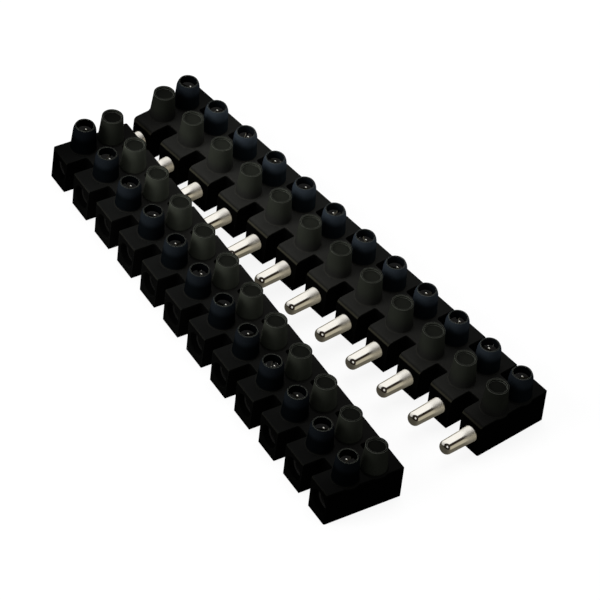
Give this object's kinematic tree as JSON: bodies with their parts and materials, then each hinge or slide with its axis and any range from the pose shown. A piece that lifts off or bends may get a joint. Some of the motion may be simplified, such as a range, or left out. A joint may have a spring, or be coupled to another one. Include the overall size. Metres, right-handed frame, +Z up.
{
  "type": "removable terminal block",
  "caption": "Pluggable strip terminal block in two moulded halves: one with round pins, one with sockets, each pole with a clamp screw in a round tower.",
  "frame": {"origin": "middle of the pin half, on its flat base", "axes": "+X along the row of poles, +Y from the pins to the wire side of the pin half, +Z up"},
  "size_m": [0.1185, 0.0579, 0.015],
  "materials": {
    "black_plastic": "matte, slightly waxy",
    "plated_contact": "nickel plated brass, bright",
    "steel": "dulled steel, seen deep in the towers"
  },
  "bodies": {
    "pin_half": {"pin_housing": "black_plastic", "pin_contact_01": "plated_contact", "pin_contact_02": "plated_contact", "pin_contact_03": "plated_contact", "pin_contact_04": "plated_contact", "pin_contact_05": "plated_contact", "pin_contact_06": "plated_contact", "pin_contact_07": "plated_contact", "pin_contact_08": "plated_contact", "pin_contact_09": "plated_contact", "pin_contact_10": "plated_contact", "pin_contact_11": "plated_contact", "pin_contact_12": "plated_contact"},
    "socket_half": {"socket_housing": "black_plastic", "socket_contact_01": "plated_contact", "socket_contact_02": "plated_contact", "socket_contact_03": "plated_contact", "socket_contact_04": "plated_contact", "socket_contact_05": "plated_contact", "socket_contact_06": "plated_contact", "socket_contact_07": "plated_contact", "socket_contact_08": "plated_contact", "socket_contact_09": "plated_contact", "socket_contact_10": "plated_contact", "socket_contact_11": "plated_contact", "socket_contact_12": "plated_contact"},
    "pin_screw_01_body": {"pin_half_screw_01": "steel"},
    "pin_screw_02_body": {"pin_half_screw_02": "steel"},
    "pin_screw_03_body": {"pin_half_screw_03": "steel"},
    "pin_screw_04_body": {"pin_half_screw_04": "steel"},
    "pin_screw_05_body": {"pin_half_screw_05": "steel"},
    "pin_screw_06_body": {"pin_half_screw_06": "steel"},
    "pin_screw_07_body": {"pin_half_screw_07": "steel"},
    "pin_screw_08_body": {"pin_half_screw_08": "steel"},
    "pin_screw_09_body": {"pin_half_screw_09": "steel"},
    "pin_screw_10_body": {"pin_half_screw_10": "steel"},
    "pin_screw_11_body": {"pin_half_screw_11": "steel"},
    "pin_screw_12_body": {"pin_half_screw_12": "steel"},
    "socket_screw_01_body": {"socket_half_screw_01": "steel"},
    "socket_screw_02_body": {"socket_half_screw_02": "steel"},
    "socket_screw_03_body": {"socket_half_screw_03": "steel"},
    "socket_screw_04_body": {"socket_half_screw_04": "steel"},
    "socket_screw_05_body": {"socket_half_screw_05": "steel"},
    "socket_screw_06_body": {"socket_half_screw_06": "steel"},
    "socket_screw_07_body": {"socket_half_screw_07": "steel"},
    "socket_screw_08_body": {"socket_half_screw_08": "steel"},
    "socket_screw_09_body": {"socket_half_screw_09": "steel"},
    "socket_screw_10_body": {"socket_half_screw_10": "steel"},
    "socket_screw_11_body": {"socket_half_screw_11": "steel"},
    "socket_screw_12_body": {"socket_half_screw_12": "steel"}
  },
  "joints": [
    {"name": "plug_swing", "type": "hinge", "parent": "pin_half", "child": "socket_half", "pos_m": [-0.07, -0.0144, 0], "axis": [0, 0, 1], "range_deg": [0, 9.2]},
    {"name": "pin_screw_01_travel", "type": "slide", "parent": "pin_half", "child": "pin_screw_01_body", "axis": [0, 0, 1], "range_m": [-0.0025, 0]},
    {"name": "pin_screw_02_travel", "type": "slide", "parent": "pin_half", "child": "pin_screw_02_body", "axis": [0, 0, 1], "range_m": [-0.0025, 0]},
    {"name": "pin_screw_03_travel", "type": "slide", "parent": "pin_half", "child": "pin_screw_03_body", "axis": [0, 0, 1], "range_m": [-0.0025, 0]},
    {"name": "pin_screw_04_travel", "type": "slide", "parent": "pin_half", "child": "pin_screw_04_body", "axis": [0, 0, 1], "range_m": [-0.0025, 0]},
    {"name": "pin_screw_05_travel", "type": "slide", "parent": "pin_half", "child": "pin_screw_05_body", "axis": [0, 0, 1], "range_m": [-0.0025, 0]},
    {"name": "pin_screw_06_travel", "type": "slide", "parent": "pin_half", "child": "pin_screw_06_body", "axis": [0, 0, 1], "range_m": [-0.0025, 0]},
    {"name": "pin_screw_07_travel", "type": "slide", "parent": "pin_half", "child": "pin_screw_07_body", "axis": [0, 0, 1], "range_m": [-0.0025, 0]},
    {"name": "pin_screw_08_travel", "type": "slide", "parent": "pin_half", "child": "pin_screw_08_body", "axis": [0, 0, 1], "range_m": [-0.0025, 0]},
    {"name": "pin_screw_09_travel", "type": "slide", "parent": "pin_half", "child": "pin_screw_09_body", "axis": [0, 0, 1], "range_m": [-0.0025, 0]},
    {"name": "pin_screw_10_travel", "type": "slide", "parent": "pin_half", "child": "pin_screw_10_body", "axis": [0, 0, 1], "range_m": [-0.0025, 0]},
    {"name": "pin_screw_11_travel", "type": "slide", "parent": "pin_half", "child": "pin_screw_11_body", "axis": [0, 0, 1], "range_m": [-0.0025, 0]},
    {"name": "pin_screw_12_travel", "type": "slide", "parent": "pin_half", "child": "pin_screw_12_body", "axis": [0, 0, 1], "range_m": [-0.0025, 0]},
    {"name": "socket_screw_01_travel", "type": "slide", "parent": "socket_half", "child": "socket_screw_01_body", "axis": [0, 0, 1], "range_m": [-0.0025, 0]},
    {"name": "socket_screw_02_travel", "type": "slide", "parent": "socket_half", "child": "socket_screw_02_body", "axis": [0, 0, 1], "range_m": [-0.0025, 0]},
    {"name": "socket_screw_03_travel", "type": "slide", "parent": "socket_half", "child": "socket_screw_03_body", "axis": [0, 0, 1], "range_m": [-0.0025, 0]},
    {"name": "socket_screw_04_travel", "type": "slide", "parent": "socket_half", "child": "socket_screw_04_body", "axis": [0, 0, 1], "range_m": [-0.0025, 0]},
    {"name": "socket_screw_05_travel", "type": "slide", "parent": "socket_half", "child": "socket_screw_05_body", "axis": [0, 0, 1], "range_m": [-0.0025, 0]},
    {"name": "socket_screw_06_travel", "type": "slide", "parent": "socket_half", "child": "socket_screw_06_body", "axis": [0, 0, 1], "range_m": [-0.0025, 0]},
    {"name": "socket_screw_07_travel", "type": "slide", "parent": "socket_half", "child": "socket_screw_07_body", "axis": [0, 0, 1], "range_m": [-0.0025, 0]},
    {"name": "socket_screw_08_travel", "type": "slide", "parent": "socket_half", "child": "socket_screw_08_body", "axis": [0, 0, 1], "range_m": [-0.0025, 0]},
    {"name": "socket_screw_09_travel", "type": "slide", "parent": "socket_half", "child": "socket_screw_09_body", "axis": [0, 0, 1], "range_m": [-0.0025, 0]},
    {"name": "socket_screw_10_travel", "type": "slide", "parent": "socket_half", "child": "socket_screw_10_body", "axis": [0, 0, 1], "range_m": [-0.0025, 0]},
    {"name": "socket_screw_11_travel", "type": "slide", "parent": "socket_half", "child": "socket_screw_11_body", "axis": [0, 0, 1], "range_m": [-0.0025, 0]},
    {"name": "socket_screw_12_travel", "type": "slide", "parent": "socket_half", "child": "socket_screw_12_body", "axis": [0, 0, 1], "range_m": [-0.0025, 0]}
  ]
}
